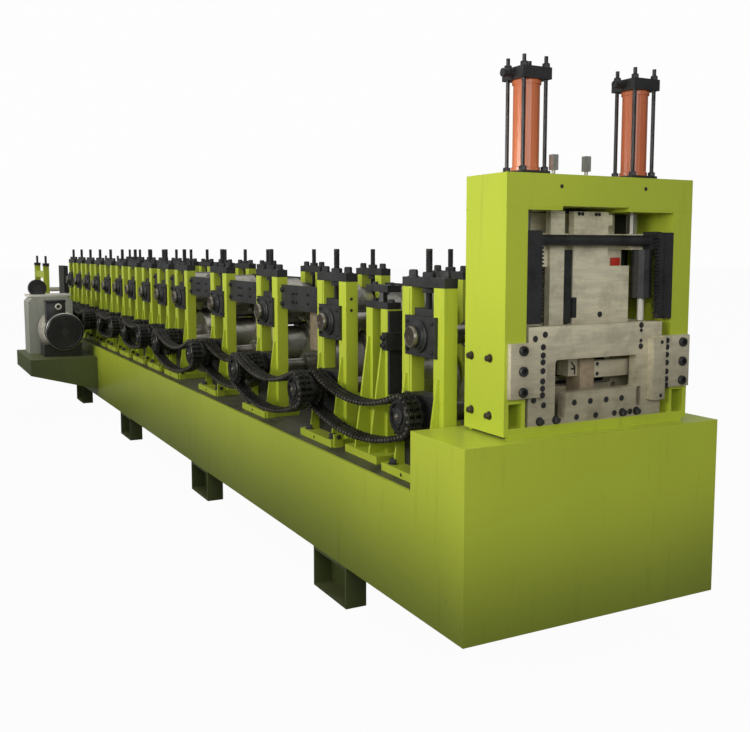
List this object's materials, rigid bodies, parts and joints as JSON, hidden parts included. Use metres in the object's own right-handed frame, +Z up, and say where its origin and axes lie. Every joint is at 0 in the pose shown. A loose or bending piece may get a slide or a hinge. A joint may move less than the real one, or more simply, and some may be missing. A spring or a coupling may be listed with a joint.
{
  "type": "roll forming machine",
  "caption": "Long welded bed with a row of roll stands driven by sagging chains, a side motor, and a hydraulic cutting press at the exit end.",
  "frame": {"origin": "on the floor, under the middle of the machine's box", "axes": "+X the way the strip runs, +Y across away from the chain side, +Z up"},
  "size_m": [9.59, 1.628, 2.046],
  "materials": {
    "black_oxide": "blackened machined steel",
    "chain_steel": "greasy roller chain and sprocket steel",
    "cylinder_paint": "orange-red cylinder paint",
    "green_paint": "glossy yellow-green machine paint over welded steel",
    "motor_black": "dark motor enamel",
    "motor_grey": "pale grey machine enamel",
    "roll_steel": "hard chromed roll steel",
    "tool_steel": "ground tool steel, lightly oiled",
    "worn_steel": "dull oiled steel plate",
    "zinc": "zinc plated steel"
  },
  "bodies": {
    "root": {"adjusting_screws": "black_oxide", "bed_channels": "green_paint", "bed_cross_members": "green_paint", "bed_feet": "green_paint", "bed_top_plate": "worn_steel", "cylinder_flanges": "black_oxide", "cylinder_tie_rods": "roll_steel", "cylinder_tubes": "cylinder_paint", "die_inserts": "tool_steel", "drive_chains": "chain_steel", "end_block": "green_paint", "entry_caps": "black_oxide", "entry_guide_rollers": "roll_steel", "entry_posts": "green_paint", "entry_rails": "green_paint", "entry_screws": "black_oxide", "entry_table": "tool_steel", "front_die_plate": "tool_steel", "gib_brackets": "tool_steel", "leveller_plates": "black_oxide", "leveller_rolls": "roll_steel", "limit_switches": "zinc", "linking_shaft": "black_oxide", "linking_shaft_blocks": "black_oxide", "lower_bearing_blocks": "black_oxide", "lower_rolls": "roll_steel", "motor_body": "motor_grey", "motor_chain": "chain_steel", "motor_coupling": "motor_grey", "motor_fan_cover": "motor_black", "motor_foot": "motor_grey", "motor_platform": "green_paint", "motor_sprockets": "chain_steel", "motor_terminal_box": "motor_black", "piston_rods": "roll_steel", "press_base": "green_paint", "press_beam": "green_paint", "press_columns": "green_paint", "pressure_pads": "black_oxide", "punch_cylinder": "black_oxide", "racks": "black_oxide", "ram_back_plate": "tool_steel", "ram_crosshead": "tool_steel", "ram_plates": "tool_steel", "rear_die_plate": "tool_steel", "reducer": "motor_grey", "reducer_cap": "black_oxide", "shaft_ends": "black_oxide", "side_roll_holders": "black_oxide", "side_rolls": "roll_steel", "side_stand_plates": "black_oxide", "side_stands": "green_paint", "sprockets": "chain_steel", "stand_bases": "green_paint", "stand_caps": "black_oxide", "stand_posts": "green_paint", "stand_ribs": "green_paint", "tie_plates": "black_oxide", "upper_bearing_blocks": "black_oxide", "upper_rolls": "roll_steel"}
  },
  "joints": []
}
